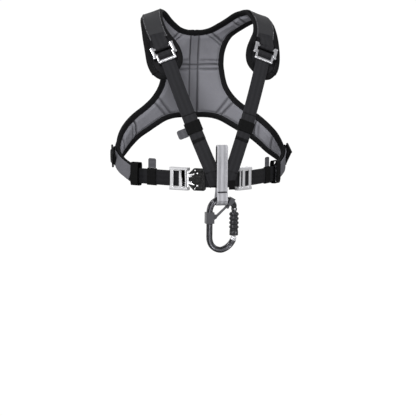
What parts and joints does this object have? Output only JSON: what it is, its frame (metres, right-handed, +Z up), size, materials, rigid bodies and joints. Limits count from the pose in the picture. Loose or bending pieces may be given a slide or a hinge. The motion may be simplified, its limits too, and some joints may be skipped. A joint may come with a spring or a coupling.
{
  "type": "climbing chest harness",
  "caption": "Padded climbing chest harness with front straps, a buckled chest belt, a sternal webbing loop and a locking carabiner hanging in the loop.",
  "frame": {"origin": "middle of the line between the two shoulder tops, where the harness hangs on the wearer", "axes": "+Z up, +X to the wearer's left, -Y to the front, as it is worn"},
  "size_m": [0.3732, 0.2509, 0.4717],
  "materials": {
    "lining": "woven",
    "binding": "woven",
    "webbing": "woven",
    "elastic": "woven",
    "tab": "moulded",
    "loop": "woven",
    "steel": "polished",
    "plastic": "satin",
    "anodised": "black anodised",
    "captive": "satin"
  },
  "bodies": {
    "harness": {"back_yoke": "lining", "binding_upper": "binding", "binding_lower": "binding", "shoulder_buckle_right": "steel", "shoulder_buckle_left": "steel", "shoulder_bar_right": "steel", "shoulder_bar_left": "steel", "shoulder_webbing_right": "webbing", "shoulder_webbing_left": "webbing", "v_strap_right": "webbing", "v_strap_left": "webbing", "v_tail_right": "webbing", "v_tail_left": "webbing", "v_keeper_right": "elastic", "v_keeper_left": "elastic", "wing_band_right": "elastic", "wing_band_left": "elastic", "side_slider_right": "plastic", "side_slider_left": "plastic", "belt_keeper_right": "elastic", "belt_keeper_left": "elastic", "tab_belt_right": "tab", "tab_belt_left": "tab", "belt_adjuster_right": "steel", "belt_adjuster_left": "steel", "tab_strap_left": "tab", "belt_left": "webbing", "belt_centre": "webbing", "belt_right": "webbing", "release_body": "plastic", "release_tongue": "steel", "release_rivet_1": "steel", "release_rivet_2": "steel", "release_rivet_3": "steel", "release_rivet_4": "steel", "blank_tag": "elastic", "sternal_loop": "loop"},
    "carabiner": {"carabiner_body": "anodised", "hinge_rivet": "steel", "captive_bar": "captive"},
    "gate": {"gate": "anodised"},
    "sleeve": {"gate_sleeve": "anodised"}
  },
  "joints": [
    {"name": "carabiner_swing", "type": "hinge", "parent": "harness", "child": "carabiner", "pos_m": [0, -0.141, -0.3554], "axis": [1, 0, 0], "range_deg": [-60, 60]},
    {"name": "gate_hinge", "type": "hinge", "parent": "carabiner", "child": "gate", "pos_m": [0.0261, -0.141, -0.37508], "axis": [0, 1, 0], "range_deg": [0, 22], "stiffness_Nm_per_rad": 0.05},
    {"name": "sleeve_turn", "type": "hinge", "parent": "gate", "child": "sleeve", "pos_m": [0.0261, -0.141, -0.4], "axis": [0, 0, 1], "range_deg": [0, 90], "stiffness_Nm_per_rad": 0.01}
  ]
}
